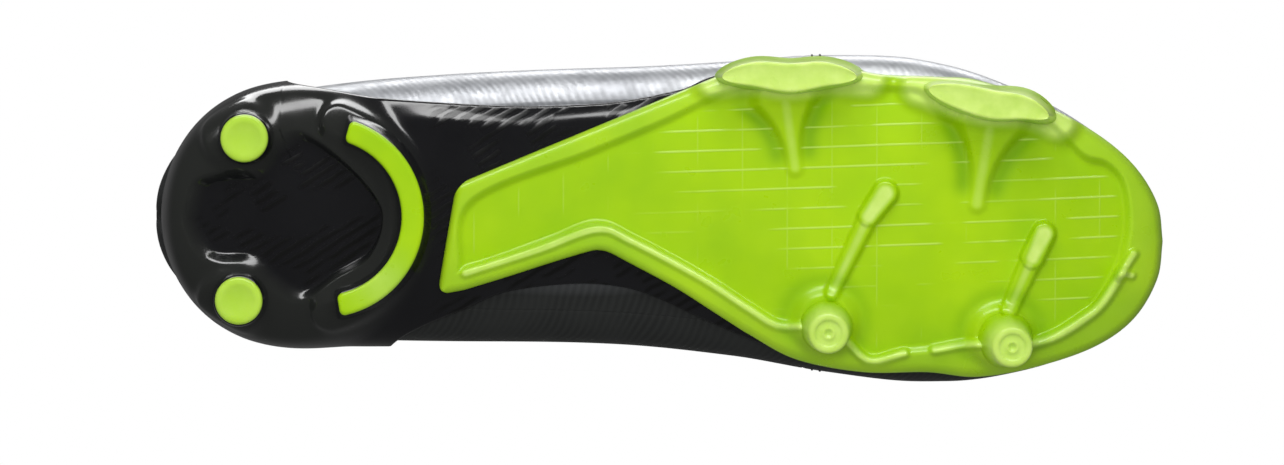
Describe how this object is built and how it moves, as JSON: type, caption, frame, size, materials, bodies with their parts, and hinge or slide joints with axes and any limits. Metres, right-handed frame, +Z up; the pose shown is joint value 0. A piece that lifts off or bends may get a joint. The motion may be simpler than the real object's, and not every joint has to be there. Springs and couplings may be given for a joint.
{
  "type": "soccer cleat",
  "caption": "Low-cut right football boot with moulded lime forefoot studs, black heel plate with lime tips, and a laced silver upper.",
  "frame": {"origin": "middle of the cleat's outline, on the plane that the stud tips stand on", "axes": "+X from heel to toe, +Y to the medial side, +Z up"},
  "size_m": [0.2785, 0.0909, 0.1168],
  "materials": {
    "lime_plate": "glossy translucent lime polyamide",
    "lime_tip": "satin lime polyurethane",
    "black_plate": "gloss black polyamide",
    "silver_skin": "satin silver synthetic with fine diagonal ribs",
    "black_cap": "black synthetic",
    "black_cloth": "black knit",
    "grey_board": "grey stitched non-woven",
    "grey_stiffener": "grey thermoplastic sheet",
    "foam": "black open foam",
    "insole_foam": "black moulded foam",
    "insole_cloth": "black woven cloth",
    "lace": "black flat braid",
    "lime_webbing": "lime webbing"
  },
  "bodies": {
    "root": {"heel_plate": "black_plate", "forefoot_plate": "lime_plate", "heel_stud_tip_lateral": "lime_tip", "heel_stud_tip_medial": "lime_tip", "heel_blade_tip": "lime_tip", "vamp": "silver_skin", "lateral_quarter": "silver_skin", "medial_quarter": "silver_skin", "strobel_board": "grey_board", "toe_puff": "grey_stiffener", "lateral_heel_stiffener": "grey_stiffener", "medial_heel_stiffener": "grey_stiffener", "vamp_lining": "black_cloth", "lateral_lining": "black_cloth", "medial_lining": "black_cloth", "lateral_collar_padding": "foam", "medial_collar_padding": "foam", "lateral_collar_lining": "black_cloth", "medial_collar_lining": "black_cloth", "lateral_eyestay": "black_cap", "medial_eyestay": "black_cap", "heel_cap": "black_cap", "heel_pull_tab": "lime_webbing", "lace": "lace"},
    "tongue": {"tongue_cover": "black_cloth", "tongue_padding": "foam", "tongue_lining": "black_cloth", "tongue_lace_keeper": "lime_webbing"},
    "insole": {"insole_foam": "insole_foam", "insole_cloth": "insole_cloth"}
  },
  "joints": [
    {"name": "tongue_tilt", "type": "hinge", "parent": "root", "child": "tongue", "pos_m": [0.046, -0.0033, 0.063], "axis": [0, -1, 0], "range_deg": [0, 8], "stiffness_Nm_per_rad": 0.08, "springref_deg": -20.05},
    {"name": "insole_lift", "type": "hinge", "parent": "root", "child": "insole", "pos_m": [0.1265, 0.0055, 0.0255], "axis": [0, 1, 0], "range_deg": [0, 6]}
  ]
}
